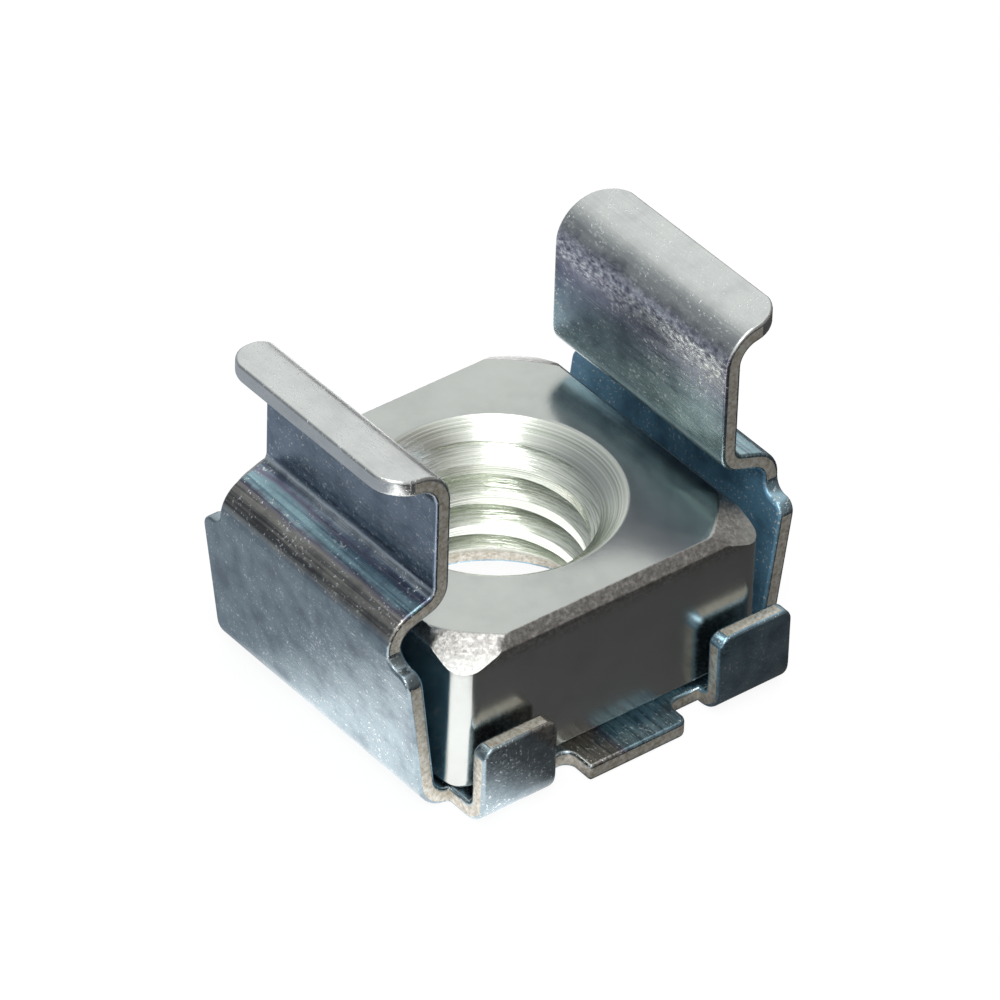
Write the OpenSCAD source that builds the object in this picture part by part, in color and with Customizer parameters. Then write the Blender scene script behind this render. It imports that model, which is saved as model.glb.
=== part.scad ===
// Cage nut for a square-holed rack rail: a square nut held loose in a folded spring-steel cage.
// The cage is one sheet. Its base lies flat, two springy legs rise from it, fold inwards over the
// nut, stand up as a neck and end in outward lips. Small tabs stand up along its other two edges.
// +Z is the screw axis, from the base to the lips, and X runs across the two legs.
// The origin is the middle of the base's underside.

/* [Nut] */
// Width of the nut across its flats
nut_w = 10; // [9.7:0.1:10.6]
// Height of the nut
nut_h = 4.6; // [4:0.1:5.4]
// Nominal diameter of the thread
thread_d = 6; // [5:1:8]
// Pitch of the thread
thread_pitch = 1; // [0.75:0.05:1.25]
// How much wider than the thread the mouth of the countersink is
countersink_rim = 0.8; // [0.2:0.1:1.2]
// Width of the bevel along the nut's top edges
nut_bevel = 0.3; // [0.1:0.05:0.5]
// Radius of the nut's four upright corners
nut_corner_r = 0.7; // [0.4:0.1:1.2]
// How much wider than the nut's flats the circle is where the turned crown starts
crown_rim = 1.5; // [0.8:0.1:2.4]
// Slope of the turned crown below the top face, in degrees
crown_angle = 31; // [20:1:45]

/* [Play] */
// Gap between the nut and the foot of each leg
play_x = 0.3; // [0.3:0.05:0.5]
// Gap between the nut and each tab
play_y = 0.25; // [0.1:0.05:0.4]
// Gap between the nut's top face and the point where the middles of wall and shelf would meet
play_z = 0.4; // [0.2:0.05:0.7]
// How far the loose nut has slid along X
nut_slide = -0.15; // [-0.25:0.05:0.25]

/* [Sheet] */
// Thickness of the spring-steel sheet
sheet_t = 0.5; // [0.4:0.05:0.55]
// Inside radius of the folds at the feet of the legs
foot_fold_r = 0.5; // [0.2:0.05:0.5]
// Inside radius of the folds at the feet of the tabs
tab_fold_r = 0.2; // [0.1:0.05:0.3]
// Inside radius of the fold at the shoulder
shoulder_r = 0.5; // [0.3:0.05:0.7]
// Inside radius of the fold at the foot of the neck
neck_fold_r = 0.3; // [0.2:0.05:0.45]
// Inside radius of the fold between the neck and the lip
lip_fold_r = 0.6; // [0.3:0.05:0.8]

/* [Base] */
// How much wider than the thread the hole in the base is
screw_gap = 1; // [0.6:0.1:1.6]
// How far the base's free edges lie inside the nut's flats
edge_setback = 0.05; // [0:0.05:0.2]
// Width of the flat tongue in the middle of each free edge
tongue_w = 3.25; // [2:0.05:3.4]
// Length of the tongue beyond the free edge
tongue_l = 0.9; // [0.7:0.05:1.4]
// Radius in the roots of the tongue and at its rounded corner
tongue_r = 0.3; // [0.1:0.05:0.4]
// How far the punched pattern of tabs and tongue sits off the middle, along X
edge_shift = 0.15; // [0:0.05:0.2]

/* [Tabs] */
// Gap between the end of a tab and the foot of the leg beside it, with the pattern in the middle
tab_gap = 0.25; // [0.25:0.05:0.5]
// Width of one tab
tab_w = 2.4; // [1.8:0.1:2.5]
// Height of a tab above the underside of the base
tab_top = 2.5; // [1.8:0.1:3.5]
// Radius of a tab's upper corners
tab_corner_r = 0.35; // [0.1:0.05:0.6]

/* [Legs] */
// Lean of a leg's lower wall out from upright, in degrees
wall_lean = 7.6; // [5:0.2:9]
// Rise of the shelf that runs in from the shoulder to the neck, in degrees
shelf_rise = 19; // [14:1:30]
// Width of a leg's lower wall
wall_w = 8.7; // [8.2:0.1:9.2]
// How far below the shoulder the step lies that ends the wide wall
step_drop = 0.9; // [0.8:0.1:1.6]
// Radius of both corners of that step
step_r = 0.4; // [0.1:0.05:0.4]

/* [Ears] */
// Width of the square hole in the rail
rail_hole_w = 9.5; // [9.5:0.1:9.7]
// How far each neck stands out past the edge of that hole until it is pressed in
neck_press = 0.18; // [0:0.02:0.2]
// Height from the foot of the neck to the point where the middles of neck and lip would meet
neck_h = 3.77; // [2.6:0.01:4.5]
// How far each lip reaches past the edge of the rail's hole
lip_reach = 1.65; // [1.45:0.05:2]
// Rise of the lip towards its tip, in degrees
lip_rise = 8; // [0:1:20]
// Width of the ear: the shelf, the neck and the lip
ear_w = 7.1; // [6:0.1:7.1]
// Radius of the lip's two corners
lip_corner_r = 0.95; // [0.4:0.05:1.2]

/* [Hidden] */

nut_colour = "#b4bab6";
cage_colour = "#8d989f";

// Facets in a round hole, and steps in the arc of one fold or corner
$fn = 96;
arc_steps = 10;
// Length by which a cutter or a trimming block runs past what it cuts
over = 1;

mid = sheet_t / 2;

// The nut and its bore
bore_d = thread_d - thread_pitch;
countersink_d = thread_d + countersink_rim;
countersink_h = (countersink_d - bore_d) / 2;
crown_d = nut_w + crown_rim;
crown_drop = (nut_w - crown_d / 2) * tan(crown_angle);
// The bevel round the nut's bottom is at least wide enough to clear the legs' folds
nut_foot_bevel = max(nut_bevel, foot_fold_r + abs(nut_slide) - play_x);

// The base, which takes its size from the nut and the play around it
inner_w = nut_w + 2 * play_x;
clearance_d = thread_d + screw_gap;
edge_y = nut_w / 2 - edge_setback;
tongue_y = edge_y + tongue_l;
flat_x = inner_w / 2 - foot_fold_r;
tabs_end_x = inner_w / 2 - tab_gap;
tab_x = tabs_end_x - tab_w;
tab_mid_y = nut_w / 2 + play_y + mid;

// Corners of one leg's middle line in the XZ plane, from the base out to the lip's tip
foot_x = inner_w / 2 + mid / cos(wall_lean) - mid * tan(wall_lean);
shoulder_z = sheet_t + nut_h + play_z;
shoulder_x = foot_x + (shoulder_z - mid) * tan(wall_lean);
neck_x = rail_hole_w / 2 + neck_press - mid;
neck_z = shoulder_z + (shoulder_x - neck_x) * tan(shelf_rise);
lip_z = neck_z + neck_h;
tip_x = rail_hole_w / 2 + lip_reach;
tip_z = lip_z + (tip_x - neck_x) * tan(lip_rise);
step_z = shoulder_z - step_drop;
leg_corners = [
    [foot_x, mid],
    [shoulder_x, shoulder_z],
    [neck_x, neck_z],
    [neck_x, lip_z],
    [tip_x, tip_z],
];
leg_radii = [foot_fold_r + mid, shoulder_r + mid, neck_fold_r + mid, lip_fold_r + mid];

// Small helpers for lists and for vectors in a plane
function reversed(list) = [for (i = [len(list) - 1:-1:0]) list[i]];
function joined(lists) = [for (list = lists) for (item = list) item];
function unit(v) = v / norm(v);
function to_left(v) = [-v[1], v[0]];
function flipped(p) = [-p[0], p[1]];
function turned(v, angle) = [
    v[0] * cos(angle) - v[1] * sin(angle),
    v[0] * sin(angle) + v[1] * cos(angle),
];

// Arc that replaces corner b of the way a, b, c. The arc's own radius is r on the way itself, and
// the points lie beside the way, at a distance given by aside, counted to its left.
function corner_arc(a, b, c, r, aside = 0) =
    r == 0 ? [b] :
    let (
        inward = unit(b - a),
        outward = unit(c - b),
        turn = atan2(inward[0] * outward[1] - inward[1] * outward[0], inward * outward),
        side = sign(turn),
        start = b - inward * r * tan(abs(turn) / 2),
        centre = start + to_left(inward) * side * r,
        arm = to_left(inward) * (aside - side * r)
    )
    [for (i = [0:arc_steps]) centre + turned(arm, turn * i / arc_steps)];

// Closed outline with each corner rounded by the radius of the same place in the second list
function rounded(corners, radii) =
    let (n = len(corners))
    joined([
        for (i = [0:n - 1])
            corner_arc(corners[(i + n - 1) % n], corners[i], corners[(i + 1) % n], radii[i])
    ]);

// One face of a folded strip, beside the strip's middle line
function strip_side(way, radii, aside) =
    let (
        last = len(way) - 1,
        first_left = to_left(unit(way[1] - way[0])),
        last_left = to_left(unit(way[last] - way[last - 1]))
    )
    concat(
        [way[0] + first_left * aside],
        joined([
            for (i = [1:last - 1]) corner_arc(way[i - 1], way[i], way[i + 1], radii[i - 1], aside)
        ]),
        [way[last] + last_left * aside]
    );

// Section through a folded strip of the sheet
function strip(way, radii) =
    concat(strip_side(way, radii, mid), reversed(strip_side(way, radii, -mid)));

// Corners of a rectangle about the origin
function rectangle(x, y) = [[-x, -y] / 2, [x, -y] / 2, [x, y] / 2, [-x, y] / 2];

// Extrusions of an outline that is drawn in the XZ or in the YZ plane, centred on the third axis
module along_y(length) {
    rotate([90, 0, 0]) linear_extrude(length, center = true) children();
}

module along_x(length) {
    rotate([90, 0, 90]) linear_extrude(length, center = true) children();
}

module both_sides_y() {
    children();
    mirror([0, 1, 0]) children();
}

module both_sides_x() {
    children();
    mirror([1, 0, 0]) children();
}

// Side view of the nut with its top and bottom edges bevelled
module nut_side_outline() {
    half = nut_w / 2;
    polygon([
        [-half + nut_foot_bevel, 0],
        [half - nut_foot_bevel, 0],
        [half, nut_foot_bevel],
        [half, nut_h - nut_bevel],
        [half - nut_bevel, nut_h],
        [-half + nut_bevel, nut_h],
        [-half, nut_h - nut_bevel],
        [-half, nut_foot_bevel],
    ]);
}

// Solid of revolution whose sloping crown takes off the nut's four top corners
module turned_crown() {
    rotate_extrude()
        polygon([
            [0, 0],
            [nut_w, 0],
            [nut_w, nut_h - crown_drop],
            [crown_d / 2, nut_h],
            [0, nut_h],
        ]);
}

module nut_blank() {
    intersection() {
        linear_extrude(nut_h)
            polygon(rounded(rectangle(nut_w, nut_w), [for (i = [1:4]) nut_corner_r]));
        along_x(2 * nut_w) nut_side_outline();
        along_y(2 * nut_w) nut_side_outline();
        turned_crown();
    }
}

// Countersink with its wide mouth at the given height, opening upwards
module countersink(mouth_z) {
    translate([0, 0, mouth_z - countersink_h])
        cylinder(h = countersink_h, d1 = bore_d, d2 = countersink_d);
}

module tapped_bore() {
    translate([0, 0, -over]) cylinder(h = nut_h + 2 * over, d = bore_d);
    countersink(nut_h);
    mirror([0, 0, 1]) countersink(0);
}

module square_nut() {
    color(nut_colour)
        translate([nut_slide, 0, sheet_t])
            difference() {
                nut_blank();
                tapped_bore();
            }
}

// Flat base with a tongue in the middle of each free edge, one of its corners left square. Beside
// the legs it stops where their folds begin.
module base_plate() {
    wall_y = wall_w / 2;
    left = edge_shift - tabs_end_x;
    right = edge_shift + tabs_end_x;
    tongue_left = edge_shift - tongue_w / 2;
    tongue_right = edge_shift + tongue_w / 2;
    near_edge = [
        [left, -edge_y],
        [tongue_left, -edge_y],
        [tongue_left, -tongue_y],
        [tongue_right, -tongue_y],
        [tongue_right, -edge_y],
        [right, -edge_y],
    ];
    near_radii = [0, tongue_r, 0, tongue_r, tongue_r, 0];
    far_edge = [for (p = reversed(near_edge)) [p[0], -p[1]]];
    right_side = [[right, -wall_y], [flat_x, -wall_y], [flat_x, wall_y], [right, wall_y]];
    left_side = [[left, wall_y], [-flat_x, wall_y], [-flat_x, -wall_y], [left, -wall_y]];
    square = [for (p = right_side) 0];
    linear_extrude(sheet_t)
        polygon(rounded(
            concat(near_edge, right_side, far_edge, left_side),
            concat(near_radii, square, reversed(near_radii), square)
        ));
}

// One tab on the near edge, folded up from the base
module tab() {
    way = [[-wall_w / 2, mid], [-tab_mid_y, mid], [-tab_mid_y, tab_top]];
    face = [[tab_x, -over], [tab_x + tab_w, -over], [tab_x + tab_w, tab_top], [tab_x, tab_top]];
    intersection() {
        along_x(2 * inner_w) polygon(strip(way, [tab_fold_r + mid]));
        along_y(4 * tab_mid_y) polygon(rounded(face, [0, 0, tab_corner_r, tab_corner_r]));
    }
}

// The base and both legs in side view: one strip folded at eight corners
module legs_section() {
    way = concat([for (p = reversed(leg_corners)) flipped(p)], leg_corners);
    polygon(strip(way, concat(reversed(leg_radii), leg_radii)));
}

// Front view of the sheet that the legs are cut from: wide below the step and narrow above it
module legs_front_outline() {
    wall = wall_w / 2;
    ear = ear_w / 2;
    top = tip_z + over;
    right = [[wall, -over], [wall, step_z], [ear, step_z], [ear, top]];
    right_radii = [0, step_r, step_r, 0];
    polygon(rounded(
        concat(right, [for (p = reversed(right)) flipped(p)]),
        concat(right_radii, reversed(right_radii))
    ));
}

// Block that rounds the lips' corners as seen from above, and leaves all below the necks alone
module lips_plan_block() {
    translate([0, 0, neck_z])
        linear_extrude(tip_z)
            polygon(rounded(rectangle(2 * tip_x, ear_w), [for (i = [1:4]) lip_corner_r]));
    translate([0, 0, -over])
        linear_extrude(neck_z + over) polygon(rectangle(4 * shoulder_x, 2 * wall_w));
}

module legs() {
    intersection() {
        along_y(2 * wall_w) legs_section();
        along_x(4 * shoulder_x) legs_front_outline();
        lips_plan_block();
    }
}

module cage() {
    color(cage_colour)
        difference() {
            union() {
                legs();
                translate([edge_shift, 0, 0]) both_sides_y() both_sides_x() tab();
                base_plate();
            }
            translate([0, 0, -over]) cylinder(h = sheet_t + 2 * over, d = clearance_d);
        }
}

square_nut();
cage();
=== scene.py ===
"""Looks of a rack cage nut: a tapped square nut, loose in a folded spring-steel cage.

The classes give their sizes in millimetres, and each piece is shaped at that scale and then
brought to metres, because the operators' own tolerances are too coarse for a part this small.
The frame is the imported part's own: +Z runs along the screw, from the base to the lips, and X
runs across the two legs.
"""

import logging
import math
from dataclasses import dataclass
from enum import Enum

import bmesh
import bpy
from mathutils import Matrix, Vector


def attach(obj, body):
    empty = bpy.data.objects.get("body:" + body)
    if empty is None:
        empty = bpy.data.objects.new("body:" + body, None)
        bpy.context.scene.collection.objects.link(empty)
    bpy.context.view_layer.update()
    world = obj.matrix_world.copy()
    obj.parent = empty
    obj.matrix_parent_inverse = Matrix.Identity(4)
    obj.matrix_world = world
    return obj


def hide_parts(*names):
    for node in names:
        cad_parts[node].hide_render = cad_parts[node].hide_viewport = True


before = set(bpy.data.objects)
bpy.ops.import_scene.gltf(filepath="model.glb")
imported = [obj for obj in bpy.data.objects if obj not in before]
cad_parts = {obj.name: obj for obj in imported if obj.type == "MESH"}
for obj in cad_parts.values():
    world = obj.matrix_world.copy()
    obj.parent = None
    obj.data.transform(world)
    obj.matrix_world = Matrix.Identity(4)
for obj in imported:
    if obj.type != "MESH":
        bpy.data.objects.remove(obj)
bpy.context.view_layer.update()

MM = 0.001
SEAM = 1e-4  # Millimetres within which the operators' doubled points are one.
NEAR = 1e-3  # Millimetres within which packed points are one, or lie on the same level.

# Sockets of a Mix node, whose factor is socket 0. A mix of colours has two inputs and a result
# of its own, and a mix of values has two inputs and gives its result from socket 0.
TINT_A, TINT_B, TINTED = 6, 7, 2
VALUE_A, VALUE_B = 2, 3

log = logging.getLogger("cage_nut")


# ---------------------------------------------------------------- small helpers

def linear(hex_colour: str) -> tuple[float, float, float, float]:
    """Turns an sRGB hex colour to the linear values that a shader takes.

    Args:
        hex_colour: Six hex digits, with or without a leading #.

    Returns:
        Red, green, blue and an alpha of 1.
    """
    digits = hex_colour.lstrip("#")
    channels = [int(digits[i:i + 2], 16) / 255 for i in (0, 2, 4)]
    out = [c / 12.92 if c <= 0.04045 else ((c + 0.055) / 1.055) ** 2.4 for c in channels]
    return (*out, 1.0)


def add(tree: bpy.types.NodeTree, kind: str, links: dict | None = None,
        stops: list[tuple[float, str]] | None = None, **settings) -> bpy.types.Node:
    """Adds one node to a tree, with its settings, its values and the links into it.

    Args:
        tree: The node tree.
        kind: The node's type, such as ShaderNodeTexNoise.
        links: Socket name or index on the new node, to an output socket or a plain value.
        stops: For a colour ramp, the place and the hex colour of each stop, in order.
        **settings: Properties of the node itself.

    Returns:
        The new node.
    """
    node = tree.nodes.new(kind)
    for name, value in settings.items():
        setattr(node, name, value)
    for key, value in (links or {}).items():
        if isinstance(value, bpy.types.NodeSocket):
            tree.links.new(value, node.inputs[key])
        else:
            node.inputs[key].default_value = value
    for number, (place, colour) in enumerate(stops or []):
        if number >= len(node.color_ramp.elements):
            node.color_ramp.elements.new(place)
        node.color_ramp.elements[number].position = place
        node.color_ramp.elements[number].color = linear(colour)
    return node


def piece(name: str, mesh: bpy.types.Mesh) -> bpy.types.Object:
    """Links a finished mesh to the scene as an object at the origin.

    Args:
        name: The object's name.
        mesh: Its mesh.

    Returns:
        The new object.
    """
    obj = bpy.data.objects.new(name, mesh)
    bpy.context.scene.collection.objects.link(obj)
    return obj


def to_mesh(bm: bmesh.types.BMesh, name: str) -> bpy.types.Mesh:
    """Writes a bmesh to a new mesh and frees it.

    Args:
        bm: The bmesh, which is used up.
        name: The mesh's name.

    Returns:
        The new mesh.
    """
    mesh = bpy.data.meshes.new(name)
    bm.to_mesh(mesh)
    bm.free()
    return mesh


def to_metres(obj: bpy.types.Object) -> None:
    """Brings a piece that was shaped in millimetres to metres."""
    obj.data.transform(Matrix.Scale(MM, 4))


def settle(obj: bpy.types.Object) -> None:
    """Applies an object's modifiers to its mesh, so that the mesh itself holds what is shown.

    Args:
        obj: The object, whose modifiers are used up.
    """
    graph = bpy.context.evaluated_depsgraph_get()
    mesh = bpy.data.meshes.new_from_object(obj.evaluated_get(graph), depsgraph=graph)
    obj.modifiers.clear()
    obj.data = mesh


def cut(obj: bpy.types.Object, tool: bmesh.types.BMesh, operation: str) -> None:
    """Cuts an object with a closed tool shape and applies the result.

    Args:
        obj: The piece that is cut.
        tool: The closed shape that cuts it; it is used up.
        operation: DIFFERENCE or INTERSECT.
    """
    cutter = piece("cutter", to_mesh(tool, "cutter"))
    step = obj.modifiers.new("cut", "BOOLEAN")
    step.operation = operation
    step.solver = "EXACT"
    step.object = cutter
    bpy.context.view_layer.update()
    settle(obj)
    bpy.data.objects.remove(cutter)


def revolve(profile: list[tuple[float, float]], steps: int) -> bmesh.types.BMesh:
    """Turns a profile about the Z axis to a closed solid.

    Args:
        profile: Radius and height of each point in millimetres; the first and the last are on
            the axis.
        steps: Number of facets round the axis.

    Returns:
        The solid.
    """
    bm = bmesh.new()
    verts = [bm.verts.new((r, 0, z)) for r, z in profile]
    edges = [bm.edges.new(pair) for pair in zip(verts, verts[1:])]
    bmesh.ops.spin(bm, geom=verts + edges, cent=(0, 0, 0), axis=(0, 0, 1), angle=math.tau,
                   steps=steps, use_merge=True)
    bmesh.ops.remove_doubles(bm, verts=bm.verts, dist=SEAM)
    bmesh.ops.recalc_face_normals(bm, faces=bm.faces)
    return bm


def soften(obj: bpy.types.Object, angle: float) -> None:
    """Shades an object smooth up to the given angle, with flat faces kept flat.

    Args:
        obj: The object.
        angle: Degrees at an edge from which it stays sharp.
    """
    for polygon in obj.data.polygons:
        polygon.use_smooth = True
    obj.data.set_sharp_from_angle(angle=math.radians(angle))
    weighted = obj.modifiers.new("weighted_normals", "WEIGHTED_NORMAL")
    weighted.keep_sharp = True
    weighted.weight = 80
    settle(obj)


# ---------------------------------------------------------------- finishes

class Sheen(Enum):
    """How smooth the zinc lies on each kind of surface, as a Principled roughness."""

    ROLLED = 0.24
    SHEARED = 0.34
    FORMED = 0.20
    DRAGGED = 0.32


@dataclass(frozen=True)
class Finish:
    """What all the finishes share: bare metal, patterned in millimetres over the piece."""

    name: str
    sheen: Sheen

    def make(self) -> bpy.types.Material:
        """Builds the material.

        Returns:
            The material, with the finish's own pattern.
        """
        mat = bpy.data.materials.new(self.name)
        mat.use_nodes = True
        tree = mat.node_tree
        shader = tree.nodes["Principled BSDF"]
        shader.inputs["Metallic"].default_value = 1.0
        shader.inputs["Roughness"].default_value = self.sheen.value
        coord = add(tree, "ShaderNodeTexCoord")
        mm = add(tree, "ShaderNodeVectorMath", {0: coord.outputs["Object"], "Scale": 1 / MM},
                 operation="SCALE")
        self.paint(tree, shader, mm.outputs[0], coord.outputs["Normal"])
        return mat

    def paint(self, tree: bpy.types.NodeTree, shader: bpy.types.Node,
              mm: bpy.types.NodeSocket, normal: bpy.types.NodeSocket) -> None:
        """Adds the finish's own pattern.

        Args:
            tree: The material's node tree.
            shader: Its shader.
            mm: Place on the piece, in millimetres.
            normal: Way the surface faces.
        """


@dataclass(frozen=True)
class ZincSheet(Finish):
    """Cold-rolled spring steel, folded and then zinc plated with a blue passivate.

    The rolls leave it smooth and cloudy, the folding dies draw streaks along the folds and gall
    the inside of the lips, and bright flecks are painted glints, light caught in the plating's
    pits. The passivate lies thickest inside the folds, where it looks steel blue.

    The bands along the folds, its blue-grey tint with painted highlights, reflections and shade
    lines where the bends curve, follow height less distance from the middle, which rises all the
    way along the sheet, from the tongues to the lips.
    """

    name: str = "zinc_plated_spring_steel"
    sheen: Sheen = Sheen.ROLLED
    cloud_mm: float = 0.8
    # Real scratches and zinc grains are a few hundredths of a millimetre across. The streaks,
    # the galling and the flecks are drawn coarser, so that they don't shimmer.
    streak_mm: tuple[float, float, float] = (0.10, 4.0, 0.10)
    gall_mm: tuple[float, float, float] = (0.12, 0.22, 0.12)
    grain_mm: float = 0.08
    pit_mm: float = 0.006
    gall_push: float = 2.5
    wobble_mm: float = 0.12
    bands_from: float = -6.0
    bands_to: float = 5.0
    # Stops across the left leg's bends: blue-grey plating with painted highlight lines and painted
    # shade lines where the bends curve.
    left_tint_and_sheen: tuple[tuple[float, str], ...] = (
        (0.0, "#a6b7bf"), (0.44, "#a9b8bf"), (0.47, "#b9b5ae"), (0.54, "#c2beb7"),
        (0.556, "#8f8c9e"), (0.575, "#b9dce6"), (0.605, "#b4d7e3"), (0.622, "#9a98ae"),
        (0.64, "#a5b4c7"), (0.668, "#e6edf0"), (0.684, "#9caab9"), (0.95, "#93a0af"))
    # Stops across the right leg's bends: the same tint with painted reflections where the bends curve.
    right: tuple[tuple[float, str], ...] = (
        (0.0, "#b0c2cd"), (0.5, "#a6c8d8"), (0.62, "#b2d3dc"), (0.74, "#b4ccd2"),
        (0.84, "#9fb0bc"), (0.90, "#a3a5b7"), (1.0, "#b3b3c2"))
    # Painted highlight: the pale colour of each lip's tip.
    lip_highlight: str = "#e6e8e7"
    lip_z: tuple[float, float] = (9.3, 9.75)
    lip_cloud: float = 0.35
    gall_z: tuple[float, float] = (8.5, 8.9)
    inside: str = "#7fb4d3"
    inside_z: tuple[float, float] = (6.0, 5.4)
    inside_turn: tuple[float, float] = (-1.5, -4.0)
    inside_metal: float = 0.45
    inside_rough: float = 0.5
    # Colour of the painted glints, flecks of light caught in the plating's pits.
    glint_fleck: str = "#f4f6f7"

    def paint(self, tree: bpy.types.NodeTree, shader: bpy.types.Node,
              mm: bpy.types.NodeSocket, normal: bpy.types.NodeSocket) -> None:
        """Adds the bands along the folds, with painted highlights and shade, then film, clouds,
        streaks, galling and flecks of painted glint.

        Args:
            tree: The material's node tree.
            shader: Its shader.
            mm: Place on the piece, in millimetres.
            normal: Way the surface faces.
        """
        place = add(tree, "ShaderNodeSeparateXYZ", {0: mm})
        facing = add(tree, "ShaderNodeSeparateXYZ", {0: normal})
        cloud = add(tree, "ShaderNodeTexNoise",
                    {"Vector": mm, "Scale": 1 / self.cloud_mm, "Detail": 5.0, "Roughness": 0.6})
        drawn = add(tree, "ShaderNodeVectorMath", {0: mm, 1: self.streak_mm}, operation="DIVIDE")
        streak = add(tree, "ShaderNodeTexNoise",
                     {"Vector": drawn.outputs[0], "Scale": 1.0, "Detail": 3.0})
        dragged = add(tree, "ShaderNodeVectorMath", {0: mm, 1: self.gall_mm}, operation="DIVIDE")
        gall = add(tree, "ShaderNodeTexNoise",
                   {"Vector": dragged.outputs[0], "Scale": 1.0, "Detail": 4.0, "Roughness": 0.65})
        grain = add(tree, "ShaderNodeTexNoise",
                    {"Vector": mm, "Scale": 1 / self.grain_mm, "Detail": 2.0})

        # Bands along the folds, with uneven borders: blue-grey tint with painted highlights,
        # reflections and shade lines where the bends curve, and a painted highlight on each lip's pale
        # tip.
        wobble = add(tree, "ShaderNodeMapRange",
                     {"Value": cloud.outputs["Fac"], "From Min": 0.3, "From Max": 0.7,
                      "To Min": -self.wobble_mm, "To Max": self.wobble_mm})
        level = add(tree, "ShaderNodeMath", {0: place.outputs["Z"], 1: wobble.outputs[0]},
                    operation="ADD")
        out = add(tree, "ShaderNodeMath", {0: place.outputs["X"]}, operation="ABSOLUTE")
        along = add(tree, "ShaderNodeMath", {0: level.outputs[0], 1: out.outputs[0]},
                    operation="SUBTRACT")
        share = add(tree, "ShaderNodeMapRange",
                    {"Value": along.outputs[0], "From Min": self.bands_from,
                     "From Max": self.bands_to})
        left_tint_and_sheen = add(tree, "ShaderNodeValToRGB", {"Fac": share.outputs[0]}, stops=list(self.left_tint_and_sheen))
        right = add(tree, "ShaderNodeValToRGB", {"Fac": share.outputs[0]}, stops=list(self.right))
        side = add(tree, "ShaderNodeMath", {0: place.outputs["X"], 1: 0.0},
                   operation="GREATER_THAN")
        # The tint with its painted highlights and shade, on the left or the right of the middle.
        fold_tint_and_sheen = add(tree, "ShaderNodeMix",
                    {0: side.outputs[0], TINT_A: left_tint_and_sheen.outputs[0], TINT_B: right.outputs[0]},
                    data_type="RGBA")
        lipped = add(tree, "ShaderNodeMapRange",
                     {"Value": level.outputs[0], "From Min": self.lip_z[0],
                      "From Max": self.lip_z[1]})
        # Painted highlight on each lip's tip.
        fold_tint_and_sheen = add(tree, "ShaderNodeMix",
                    {0: lipped.outputs[0], TINT_A: fold_tint_and_sheen.outputs[TINTED],
                     TINT_B: linear(self.lip_highlight)}, data_type="RGBA")

        # The thick blue film on the faces of the legs that look inward, low down.
        turned_in = add(tree, "ShaderNodeMath", {0: place.outputs["X"], 1: facing.outputs["X"]},
                        operation="MULTIPLY")
        inward = add(tree, "ShaderNodeMapRange",
                     {"Value": turned_in.outputs[0], "From Min": self.inside_turn[0],
                      "From Max": self.inside_turn[1]})
        low = add(tree, "ShaderNodeMapRange",
                  {"Value": level.outputs[0], "From Min": self.inside_z[0],
                   "From Max": self.inside_z[1]})
        thick = add(tree, "ShaderNodeMath", {0: inward.outputs[0], 1: low.outputs[0]},
                    operation="MULTIPLY")
        film = add(tree, "ShaderNodeMix",
                   {0: thick.outputs[0], TINT_A: fold_tint_and_sheen.outputs[TINTED],
                    TINT_B: linear(self.inside)}, data_type="RGBA")

        # Clouds everywhere, fainter on the lips' tips.
        shade = add(tree, "ShaderNodeValToRGB", {"Fac": cloud.outputs["Fac"]},
                    stops=[(0.32, "#c9cacf"), (0.5, "#f2f3f4"), (0.62, "#ffffff")])
        still = add(tree, "ShaderNodeMapRange",
                    {"Value": lipped.outputs[0], "To Min": 1.0, "To Max": self.lip_cloud})
        clouded = add(tree, "ShaderNodeMix",
                      {0: still.outputs[0], TINT_A: film.outputs[TINTED],
                       TINT_B: shade.outputs[0]}, data_type="RGBA", blend_type="MULTIPLY")

        # Streaks, strongest where the die draws the sheet over the shoulder.
        scraped = add(tree, "ShaderNodeValToRGB", {"Fac": share.outputs[0]},
                      stops=[(0.0, "#404040"), (0.42, "#505050"), (0.47, "#ffffff"),
                             (0.68, "#ffffff"), (0.72, "#606060"), (1.0, "#606060")])
        lines = add(tree, "ShaderNodeValToRGB", {"Fac": streak.outputs["Fac"]},
                    stops=[(0.36, "#b8bbc4"), (0.5, "#f2f2f2"), (0.6, "#ffffff")])
        lined = add(tree, "ShaderNodeMix",
                    {0: scraped.outputs[0], TINT_A: clouded.outputs[TINTED],
                     TINT_B: lines.outputs[0]}, data_type="RGBA", blend_type="MULTIPLY")

        # Galling inside the lips, between their bend and their tip.
        bent = add(tree, "ShaderNodeMapRange",
                   {"Value": level.outputs[0], "From Min": self.gall_z[0],
                    "From Max": self.gall_z[1]})
        galled = add(tree, "ShaderNodeMath", {0: bent.outputs[0], 1: lipped.outputs[0]},
                     operation="SUBTRACT")
        galled = add(tree, "ShaderNodeMath", {0: galled.outputs[0], 1: inward.outputs[0]},
                     operation="MULTIPLY")
        rubbed = add(tree, "ShaderNodeValToRGB", {"Fac": gall.outputs["Fac"]},
                     stops=[(0.36, "#6d6b7c"), (0.5, "#b4b3c0"), (0.6, "#e4e6ea"),
                            (0.68, "#ffffff")])
        worn = add(tree, "ShaderNodeMix",
                   {0: galled.outputs[0], TINT_A: lined.outputs[TINTED],
                    TINT_B: rubbed.outputs[0]}, data_type="RGBA")

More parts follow.
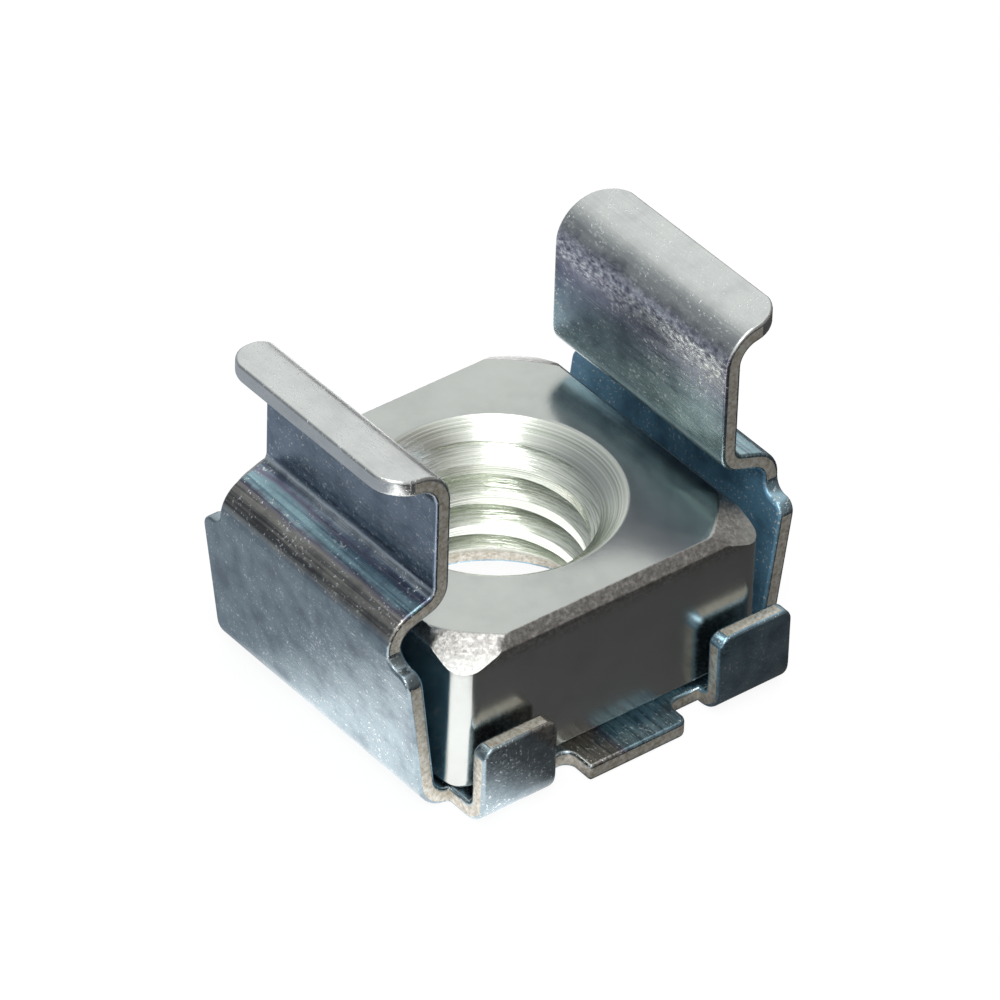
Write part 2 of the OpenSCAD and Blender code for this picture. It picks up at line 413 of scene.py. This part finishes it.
        # Painted glints: bright flecks for light caught in the plating's pits, more of them where a
        # cloud is pale.
        lift = add(tree, "ShaderNodeMath", {0: cloud.outputs["Fac"], 1: 0.35},
                   operation="MULTIPLY")
        peak = add(tree, "ShaderNodeMath", {0: grain.outputs["Fac"], 1: lift.outputs[0]},
                   operation="ADD")
        glint_fleck = add(tree, "ShaderNodeMapRange",
                    {"Value": peak.outputs[0], "From Min": 0.80, "From Max": 0.88,
                     "To Max": 0.85})
        base = add(tree, "ShaderNodeMix",
                   {0: glint_fleck.outputs[0], TINT_A: worn.outputs[TINTED],
                    TINT_B: linear(self.glint_fleck)}, data_type="RGBA")

        # Roughness and relief follow the same marks, and a thick film hides some of the metal.
        rough = add(tree, "ShaderNodeMapRange",
                    {"Value": streak.outputs["Fac"], "From Min": 0.35, "From Max": 0.65,
                     "To Min": self.sheen.value - 0.04, "To Max": self.sheen.value + 0.08})
        dulled = add(tree, "ShaderNodeMix",
                     {0: thick.outputs[0], VALUE_A: rough.outputs[0],
                      VALUE_B: self.inside_rough})
        uneven = add(tree, "ShaderNodeMix",
                     {0: scraped.outputs[0], VALUE_A: gall.outputs["Fac"],
                      VALUE_B: streak.outputs["Fac"]})
        uneven = add(tree, "ShaderNodeMath", {0: uneven.outputs[0], 1: glint_fleck.outputs[0]},
                     operation="ADD")
        rubs = add(tree, "ShaderNodeMath", {0: gall.outputs["Fac"], 1: galled.outputs[0]},
                   operation="MULTIPLY")
        height = add(tree, "ShaderNodeMath",
                     {0: rubs.outputs[0], 1: self.gall_push, 2: uneven.outputs[0]},
                     operation="MULTIPLY_ADD")
        bump = add(tree, "ShaderNodeBump",
                   {"Strength": 1.0, "Distance": self.pit_mm * MM, "Height": height.outputs[0]})
        metal = add(tree, "ShaderNodeMapRange",
                    {"Value": thick.outputs[0], "To Min": 1.0, "To Max": self.inside_metal})
        tree.links.new(base.outputs[TINTED], shader.inputs["Base Color"])
        tree.links.new(metal.outputs[0], shader.inputs["Metallic"])
        tree.links.new(dulled.outputs[0], shader.inputs["Roughness"])
        tree.links.new(bump.outputs[0], shader.inputs["Normal"])


@dataclass(frozen=True)
class ZincCut(Finish):
    """The sheared edge of the same sheet: torn steel that the zinc covers thinly.

    It looks olive brown and grainy between the two bright rims that the shears roll over.
    """

    name: str = "zinc_plated_sheared_edge"
    sheen: Sheen = Sheen.SHEARED
    # The tears are finer on the real edge, and drawn coarser here so that they show.
    grain_mm: float = 0.12
    tear_mm: float = 0.015
    metal: float = 0.6

    def paint(self, tree: bpy.types.NodeTree, shader: bpy.types.Node,
              mm: bpy.types.NodeSocket, normal: bpy.types.NodeSocket) -> None:
        """Adds the torn grain.

        Args:
            tree: The material's node tree.
            shader: Its shader.
            mm: Place on the piece, in millimetres.
            normal: Way the surface faces; not used here.
        """
        grain = add(tree, "ShaderNodeTexNoise",
                    {"Vector": mm, "Scale": 1 / self.grain_mm, "Detail": 4.0, "Roughness": 0.65})
        base = add(tree, "ShaderNodeValToRGB", {"Fac": grain.outputs["Fac"]},
                   stops=[(0.32, "#b3aa98"), (0.5, "#dcd6c9"), (0.66, "#f4f1ea")])
        bump = add(tree, "ShaderNodeBump",
                   {"Strength": 1.0, "Distance": self.tear_mm * MM,
                    "Height": grain.outputs["Fac"]})
        shader.inputs["Metallic"].default_value = self.metal
        tree.links.new(base.outputs[0], shader.inputs["Base Color"])
        tree.links.new(bump.outputs[0], shader.inputs["Normal"])


@dataclass(frozen=True, kw_only=True)
class ZincNut(Finish):
    """Cold-formed steel, zinc plated: smooth enough to mirror what stands round it.

    The punch leaves the flats clean, the die's wall drags brownish marks along their rims, and
    the tap and the countersink leave fine rings in the bore, which is painted paler than the
    flats as a painted sheen for the light that its thread catches.
    """

    name: str = "zinc_plated_cold_formed_steel"
    sheen: Sheen = Sheen.FORMED
    centre_mm: float
    mouth_mm: float
    cloud_mm: float = 1.6
    # The tool's rings and the drag marks' grain are finer on the real nut, and drawn coarser
    # here so that they show.
    grain_mm: float = 0.12
    ring_mm: float = 0.05
    dent_mm: float = 0.012
    rim_z: tuple[float, float] = (4.3, 4.8)
    slant: tuple[float, float] = (0.97, 0.9)
    drag_fade_mm: float = 0.4
    flat_dents: float = 0.12

    def paint(self, tree: bpy.types.NodeTree, shader: bpy.types.Node,
              mm: bpy.types.NodeSocket, normal: bpy.types.NodeSocket) -> None:
        """Adds the clean flats, the dragged rims and the ringed bore.

        Args:
            tree: The material's node tree.
            shader: Its shader.
            mm: Place on the piece, in millimetres.
            normal: Way the surface faces.
        """
        centred = add(tree, "ShaderNodeVectorMath", {0: mm, 1: (-self.centre_mm, 0, 0)},
                      operation="ADD")
        place = add(tree, "ShaderNodeSeparateXYZ", {0: centred.outputs[0]})
        flat = add(tree, "ShaderNodeVectorMath", {0: centred.outputs[0], 1: (1, 1, 0)},
                   operation="MULTIPLY")
        radius = add(tree, "ShaderNodeVectorMath", {0: flat.outputs[0]},
                     operation="LENGTH").outputs["Value"]
        facing = add(tree, "ShaderNodeSeparateXYZ", {0: normal})
        cloud = add(tree, "ShaderNodeTexNoise",
                    {"Vector": mm, "Scale": 1 / self.cloud_mm, "Detail": 5.0, "Roughness": 0.6})
        grain = add(tree, "ShaderNodeTexNoise",
                    {"Vector": mm, "Scale": 1 / self.grain_mm, "Detail": 4.0, "Roughness": 0.65})

        # Clean flats, and drag marks where the top slants away outside the countersink.
        clean = add(tree, "ShaderNodeValToRGB", {"Fac": cloud.outputs["Fac"]},
                    stops=[(0.32, "#c6c9c6"), (0.5, "#ced1ce"), (0.66, "#d2d5d2")])
        rim = add(tree, "ShaderNodeMapRange",
                  {"Value": place.outputs["Z"], "From Min": self.rim_z[0],
                   "From Max": self.rim_z[1]})
        aslant = add(tree, "ShaderNodeMapRange",
                     {"Value": facing.outputs["Z"], "From Min": self.slant[0],
                      "From Max": self.slant[1]})
        outer = add(tree, "ShaderNodeMapRange",
                    {"Value": radius, "From Min": self.mouth_mm,
                     "From Max": self.mouth_mm + self.drag_fade_mm})
        dragged = add(tree, "ShaderNodeMath", {0: rim.outputs[0], 1: aslant.outputs[0]},
                      operation="MULTIPLY")
        dragged = add(tree, "ShaderNodeMath", {0: dragged.outputs[0], 1: outer.outputs[0]},
                      operation="MULTIPLY")
        marks = add(tree, "ShaderNodeValToRGB", {"Fac": grain.outputs["Fac"]},
                    stops=[(0.32, "#8f8c8a"), (0.5, "#b3b1ae"), (0.62, "#cfcdca"),
                           (0.7, "#e6e4e0")])
        flats = add(tree, "ShaderNodeMix",
                    {0: dragged.outputs[0], TINT_A: clean.outputs[0], TINT_B: marks.outputs[0]},
                    data_type="RGBA")

        # The bore, with rings that follow radius and height alone, painted paler than the flats as a
        # sheen for the light that its thread catches.
        bore = add(tree, "ShaderNodeMath", {0: radius, 1: self.mouth_mm + 0.02},
                   operation="LESS_THAN")
        rings_at = add(tree, "ShaderNodeCombineXYZ", {"X": radius, "Y": place.outputs["Z"]})
        rings = add(tree, "ShaderNodeTexNoise",
                    {"Vector": rings_at.outputs[0], "Scale": 1 / self.ring_mm, "Detail": 3.0})
        # Painted sheen: the bore's pale colour stands in for the light that its thread catches.
        pale = add(tree, "ShaderNodeValToRGB", {"Fac": rings.outputs["Fac"]},
                   stops=[(0.32, "#ccd2c6"), (0.5, "#ebefe5"), (0.66, "#f7f9f2")])
        base = add(tree, "ShaderNodeMix",
                   {0: bore.outputs[0], TINT_A: flats.outputs[TINTED], TINT_B: pale.outputs[0]},
                   data_type="RGBA")

        # Relief: faint dents on the flats, deep ones in the marks, and the rings.
        coarse = add(tree, "ShaderNodeMapRange",
                     {"Value": dragged.outputs[0], "To Min": self.flat_dents, "To Max": 1.0})
        dents = add(tree, "ShaderNodeMath", {0: grain.outputs["Fac"], 1: coarse.outputs[0]},
                    operation="MULTIPLY")
        ringed = add(tree, "ShaderNodeMix",
                     {0: bore.outputs[0], VALUE_A: dents.outputs[0],
                      VALUE_B: rings.outputs["Fac"]})
        bump = add(tree, "ShaderNodeBump",
                   {"Strength": 1.0, "Distance": self.dent_mm * MM, "Height": ringed.outputs[0]})
        rough = add(tree, "ShaderNodeMapRange",
                    {"Value": dragged.outputs[0], "To Min": self.sheen.value,
                     "To Max": Sheen.DRAGGED.value})
        tree.links.new(base.outputs[TINTED], shader.inputs["Base Color"])
        tree.links.new(rough.outputs[0], shader.inputs["Roughness"])
        tree.links.new(bump.outputs[0], shader.inputs["Normal"])


# ---------------------------------------------------------------- the nut

@dataclass
class SquareNut:
    """The square nut with its turned crown, countersinks and tapped thread."""

    width: float = 10.0
    height: float = 4.6
    foot: float = 0.5  # Height of the base's top, on which the nut lies.
    slide: float = -0.15
    bevel: float = 0.3
    foot_bevel: float = 0.35
    corner_r: float = 0.7
    crown_r: float = 5.75
    crown_angle: float = 31.0
    major_r: float = 3.0
    minor_r: float = 2.5
    pitch: float = 1.0
    flank_angle: float = 30.0
    root_round: float = 0.05
    mouth_r: float = 3.4
    edge_r: float = 0.05
    crease: float = 25.0  # Degrees from which an edge of the blank gets its small rounding.
    smooth: float = 35.0
    skim: float = 0.01  # Depth that the turning takes off the top.
    past: float = 1.0  # How far the turned cutters run past the nut.
    tap_past: float = 1.2
    tap_inset: float = 0.15  # How far inside the bore the tap's groove starts.
    corner_steps: int = 8
    crown_steps: int = 160
    bore_steps: int = 128
    tap_steps: int = 96

    def blank(self) -> bmesh.types.BMesh:
        """Makes the square blank with its rounded corners and bevelled faces.

        Returns:
            The blank, standing on height 0.
        """
        bm = bmesh.new()
        place = Matrix.Translation((0, 0, self.height / 2))
        bmesh.ops.create_cube(bm, size=1.0,
                              matrix=place @ Matrix.Diagonal((self.width, self.width, self.height, 1)))
        upright = [e for e in bm.edges if abs((e.verts[0].co - e.verts[1].co).z) > self.height / 2]
        bmesh.ops.bevel(bm, geom=upright, offset=self.corner_r, segments=self.corner_steps,
                        profile=0.5, affect="EDGES", material=-1, clamp_overlap=True)
        for level, width in ((self.height, self.bevel), (0.0, self.foot_bevel)):
            rim = [e for e in bm.edges if all(abs(v.co.z - level) < NEAR for v in e.verts)]
            bmesh.ops.bevel(bm, geom=rim, offset=width, segments=1, profile=0.5,
                            affect="EDGES", material=-1, clamp_overlap=True)
        edges = [e for e in bm.edges if e.calc_face_angle(0) > math.radians(self.crease)]
        bmesh.ops.bevel(bm, geom=edges, offset=self.edge_r, segments=2, profile=0.5,
                        affect="EDGES", material=-1, clamp_overlap=True)
        bmesh.ops.recalc_face_normals(bm, faces=bm.faces)
        return bm

    def crown(self) -> bmesh.types.BMesh:
        """Makes the turned shape whose sloping crown takes off the four top corners.

        Returns:
            The shape that the blank is cut down to, with a rounded edge round its flat.
        """
        far, r, e = self.width, self.crown_r, self.edge_r
        slope = math.tan(math.radians(self.crown_angle))
        top = self.height - self.skim
        return revolve([
            (0, -self.past), (far, -self.past), (far, top - (far - r) * slope),
            (r + e, top - e * slope), (r, top - e * slope / 4), (r - e, top), (0, top),
        ], self.crown_steps)

    def bore(self) -> bmesh.types.BMesh:
        """Makes the shape of the plain bore with a countersink at each end.

        Returns:
            The cutter, which flares a little past each mouth so that the mouths' edges are round.
        """
        r, mouth, e, top = self.minor_r, self.mouth_r, self.edge_r, self.height - self.skim
        deep = mouth - r
        above = self.height + self.past
        return revolve([
            (0, -self.past), (mouth + 3 * e, -self.past), (mouth + 3 * e, -e / 5),
            (mouth + e, e / 5), (mouth - e, e), (r, deep), (r, top - deep), (mouth - e, top - e),
            (mouth + e, top - e / 5), (mouth + 3 * e, top + e / 5), (mouth + 3 * e, above),
            (0, above),
        ], self.bore_steps)

    def tap(self) -> bmesh.types.BMesh:
        """Makes the winding groove that the tap cuts, as one closed coil.

        Returns:
            The coil, which runs past both faces of the nut.
        """
        bm = bmesh.new()
        inner = self.minor_r - self.tap_inset
        root = self.pitch / 16
        half = root + (self.major_r - inner) * math.tan(math.radians(self.flank_angle))
        section = [(inner, -half), (self.major_r, -root), (self.major_r + self.root_round, 0.0),
                   (self.major_r, root), (inner, half)]
        verts = [bm.verts.new((r, 0, z - self.tap_past)) for r, z in section]
        bm.faces.new(verts)
        turns = math.ceil(self.height + 2 * self.tap_past)
        bmesh.ops.spin(bm, geom=bm.faces[:] + bm.edges[:] + bm.verts[:], cent=(0, 0, 0),
                       axis=(0, 0, 1), dvec=(0, 0, self.pitch / self.tap_steps),
                       angle=math.tau * turns, steps=self.tap_steps * turns)
        bmesh.ops.remove_doubles(bm, verts=bm.verts, dist=SEAM)
        bmesh.ops.holes_fill(bm, edges=[e for e in bm.edges if e.is_boundary])
        bmesh.ops.recalc_face_normals(bm, faces=bm.faces)
        return bm

    def build(self) -> bpy.types.Object:
        """Makes the nut and lays it on the base where it has slid to.

        Returns:
            The nut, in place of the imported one.
        """
        nut = piece("square_nut_plated", to_mesh(self.blank(), "square_nut_plated"))
        cut(nut, self.crown(), "INTERSECT")
        cut(nut, self.bore(), "DIFFERENCE")
        cut(nut, self.tap(), "DIFFERENCE")
        nut.data.transform(Matrix.Translation((self.slide, 0, self.foot)))
        to_metres(nut)
        soften(nut, self.smooth)
        nut.data.materials.clear()
        nut.data.materials.append(ZincNut(centre_mm=self.slide, mouth_mm=self.mouth_r).make())
        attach(nut, "root")
        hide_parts("square_nut")
        return nut


# ---------------------------------------------------------------- the cage

class Layer(Enum):
    """The cage's finishes, in the order of its material slots."""

    SHEET = 0
    CUT = 1


@dataclass
class Cage:
    """The folded cage, with the rolled-over edges that shearing leaves on its sheet."""

    sheet: float = 0.5
    flat_x: float = 4.8  # Half length of the base up to where the legs' bends start.
    edge_y: float = 4.9  # How far out the tabs start.
    rollover: float = 0.1
    sharp: float = 25.0  # Degrees from which a sticking-out edge is rolled over.
    smooth: float = 40.0
    level_within: float = 0.5  # Degrees within which neighbouring faces are one flat.
    sliver: float = 0.012
    straight_on: float = 0.98  # Least part of a normal that faces straight along an axis.
    upright: float = 0.1

    def folded_sheet(self) -> bmesh.types.BMesh:
        """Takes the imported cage's form and rolls its cut edges over.

        Returns:
            The cage in millimetres.
        """
        bm = bmesh.new()
        bm.from_mesh(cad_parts["cage"].data)
        bm.transform(Matrix.Scale(1 / MM, 4))
        bmesh.ops.remove_doubles(bm, verts=bm.verts, dist=NEAR)
        bmesh.ops.dissolve_limit(bm, angle_limit=math.radians(self.level_within),
                                 verts=bm.verts, edges=bm.edges)
        bmesh.ops.dissolve_degenerate(bm, dist=self.sliver, edges=bm.edges)
        edges = [e for e in bm.edges if e.calc_face_angle_signed(0) > math.radians(self.sharp)]
        bmesh.ops.bevel(bm, geom=edges, offset=self.rollover, segments=3, profile=0.5,
                        affect="EDGES", material=-1, clamp_overlap=False, loop_slide=True)
        return bm

    def is_sheared(self, face: bpy.types.MeshPolygon) -> bool:
        """Tells whether a face is part of the sheet's cut edge.

        Args:
            face: A face of the cage in millimetres.

        Returns:
            True on the sides and tops of the tabs, the edges of the base and the legs' sides.
        """
        place, way = face.center, face.normal
        if place.z > self.sheet and abs(place.y) > self.edge_y:
            return abs(way.x) > self.straight_on or way.z > self.straight_on
        if place.z < self.sheet and abs(place.x) < self.flat_x + self.rollover:
            return abs(way.z) < self.upright
        return abs(way.y) > self.straight_on

    def build(self) -> bpy.types.Object:
        """Makes the cage and dresses it.

        Returns:
            The cage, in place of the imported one.
        """
        cage = piece("cage_plated", to_mesh(self.folded_sheet(), "cage_plated"))
        cage.data.materials.clear()
        for finish in (ZincSheet(), ZincCut()):
            cage.data.materials.append(finish.make())
        for face in cage.data.polygons:
            face.material_index = (Layer.CUT if self.is_sheared(face) else Layer.SHEET).value
        to_metres(cage)
        soften(cage, self.smooth)
        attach(cage, "root")
        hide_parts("cage")
        return cage


# ---------------------------------------------------------------- the studio

@dataclass(frozen=True)
class Softbox:
    """One square soft lamp that faces the part."""

    name: str
    way: tuple[float, float, float]  # Direction from the part to the lamp.
    glow: float  # Radiance of its face, where 1 mirrors as white.
    reach: float = 500.0
    size: float = 200.0

    def hang(self) -> bpy.types.Object:
        """Hangs the lamp.

        Returns:
            The lamp.
        """
        side = self.size * MM
        data = bpy.data.lights.new(self.name, "AREA")
        data.size = side
        data.energy = self.glow * math.pi * side * side
        lamp = bpy.data.objects.new(self.name, data)
        bpy.context.scene.collection.objects.link(lamp)
        place = Vector(self.way).normalized()
        lamp.location = place * self.reach * MM
        lamp.rotation_mode = "QUATERNION"
        lamp.rotation_quaternion = place.to_track_quat("Z", "Y")
        return lamp


@dataclass
class Studio:
    """Floor, lamps, surroundings and camera; its angles are in degrees."""

    azimuth: float = 39.13
    elevation: float = 37.84
    roll: float = 1.88
    lens: float = 332.98
    sensor: float = 36.0
    distance: float = 241.15
    aim: tuple[float, float] = (0.25, 3.46)
    aim_from: tuple[float, float, float] = (-0.17, 0.0, 0.5)
    floor_half: float = 600.0
    aisle_half: float = 12.0
    floor_white: float = 0.9
    floor_glow: float = 1.5
    floor_grey: str = "#6b6b6b"
    lamps: tuple[Softbox, ...] = (
        Softbox("key_softbox", (-0.39, -0.48, 0.79), 4.5),
        Softbox("top_softbox", (-0.05, -0.05, 1.0), 2.2))

    def across(self) -> tuple[float, float, float]:
        """Gives the level direction that runs to the camera's right."""
        turn = math.radians(self.azimuth)
        return (math.cos(turn), -math.sin(turn), 0.0)

    def floor(self) -> bpy.types.Object:
        """Makes the pale floor, white to the eye, with the part's soft shadow on it.

        In the metal it shows as a bright aisle that runs from the camera past the part, between
        two darker sides.

        Returns:
            The floor, which stays out of the dressed part.
        """
        bm = bmesh.new()
        bmesh.ops.create_grid(bm, x_segments=1, y_segments=1, size=self.floor_half * MM)
        floor = piece("floor", to_mesh(bm, "floor"))
        mat = bpy.data.materials.new("pale_floor")
        mat.use_nodes = True
        tree = mat.node_tree
        tree.nodes.clear()
        path = add(tree, "ShaderNodeLightPath")
        place = add(tree, "ShaderNodeTexCoord").outputs["Object"]
        off = add(tree, "ShaderNodeVectorMath", {0: place, 1: self.across()},
                  operation="DOT_PRODUCT")
        aisle = add(tree, "ShaderNodeMapRange",
                    {"Value": off.outputs["Value"], "From Min": -self.aisle_half * MM,
                     "From Max": self.aisle_half * MM})
        grey = add(tree, "ShaderNodeValToRGB", {"Fac": aisle.outputs[0]},
                   stops=[(0.0, "#8b9096"), (0.20, "#8b9096"), (0.29, "#ffffff"),
                          (0.53, "#ffffff"), (0.6, "#474747"), (1.0, "#3c3c3c")])
        seen = add(tree, "ShaderNodeMath",
                   {0: path.outputs["Is Camera Ray"], 1: self.floor_white}, operation="MULTIPLY")
        plain = add(tree, "ShaderNodeBsdfDiffuse", {"Color": linear(self.floor_grey)})
        shown = add(tree, "ShaderNodeEmission",
                    {"Color": (1, 1, 1, 1), "Strength": seen.outputs[0]})
        glossy = add(tree, "ShaderNodeEmission",
                     {"Color": grey.outputs[0], "Strength": self.floor_glow})
        both = add(tree, "ShaderNodeAddShader", {0: plain.outputs[0], 1: shown.outputs[0]})
        every = add(tree, "ShaderNodeMixShader",
                    {"Fac": path.outputs["Is Glossy Ray"], 1: both.outputs[0],
                     2: glossy.outputs[0]})
        add(tree, "ShaderNodeOutputMaterial", {"Surface": every.outputs[0]})
        floor.data.materials.append(mat)
        return floor

    def world(self) -> None:
        """Makes the surroundings: white to the eye, and a bright aisle overhead in the metal."""
        world = bpy.data.worlds.new("studio")
        bpy.context.scene.world = world
        world.use_nodes = True
        tree = world.node_tree
        tree.nodes.clear()
        path = add(tree, "ShaderNodeLightPath")
        way = add(tree, "ShaderNodeTexCoord").outputs["Generated"]
        off = add(tree, "ShaderNodeVectorMath", {0: way, 1: self.across()},
                  operation="DOT_PRODUCT")
        aisle = add(tree, "ShaderNodeMapRange",
                    {"Value": off.outputs["Value"], "From Min": -1.0, "From Max": 1.0})
        grey = add(tree, "ShaderNodeValToRGB", {"Fac": aisle.outputs[0]},
                   stops=[(0.0, "#74797d"), (0.125, "#8d9295"), (0.32, "#dcdfdd"),
                          (0.5, "#eef0ee"), (0.68, "#e2e4e3"), (0.81, "#94928f"),
                          (1.0, "#7a7876")])
        around = add(tree, "ShaderNodeBackground", {"Color": grey.outputs[0], "Strength": 1.0})
        white = add(tree, "ShaderNodeBackground", {"Color": (1, 1, 1, 1), "Strength": 1.0})
        mix = add(tree, "ShaderNodeMixShader",
                  {"Fac": path.outputs["Is Camera Ray"], 1: around.outputs[0],
                   2: white.outputs[0]})
        add(tree, "ShaderNodeOutputWorld", {"Surface": mix.outputs[0]})

    def camera(self) -> bpy.types.Object:
        """Sets up the camera at its place and angle.

        Returns:
            The camera, which is now the scene's own.
        """
        a, e, r = (math.radians(v) for v in (self.azimuth, self.elevation, self.roll))
        back = Vector((-math.sin(a) * math.cos(e), -math.cos(a) * math.cos(e), math.sin(e)))
        level = Vector(self.across())
        over = back.cross(level)
        right = level * math.cos(r) + over * math.sin(r)
        up = over * math.cos(r) - level * math.sin(r)
        aim = right * self.aim[0] + up * self.aim[1] + Vector(self.aim_from)
        data = bpy.data.cameras.new("camera")
        data.sensor_width = self.sensor
        data.lens = self.lens
        data.clip_start = 0.01
        data.clip_end = 10.0
        camera = bpy.data.objects.new("camera", data)
        bpy.context.scene.collection.objects.link(camera)
        turn = Matrix((right, up, back)).transposed().to_4x4()
        camera.matrix_world = Matrix.Translation((aim + back * self.distance) * MM) @ turn
        bpy.context.scene.camera = camera
        return camera

    def build(self) -> None:
        """Sets up everything round the part."""
        self.floor()
        self.world()
        for lamp in self.lamps:
            lamp.hang()
        self.camera()
        bpy.context.scene.view_settings.view_transform = "Standard"


# ---------------------------------------------------------------- all of it


def main() -> None:
    """Builds the nut, the cage and the studio, and reports each piece."""
    logging.basicConfig(level=logging.INFO, format="%(name)s: %(message)s")
    for maker in (SquareNut(), Cage()):
        made = maker.build()
        log.info("%s: %d faces", made.name, len(made.data.polygons))
    Studio().build()


if __name__ == "__main__":
    main()
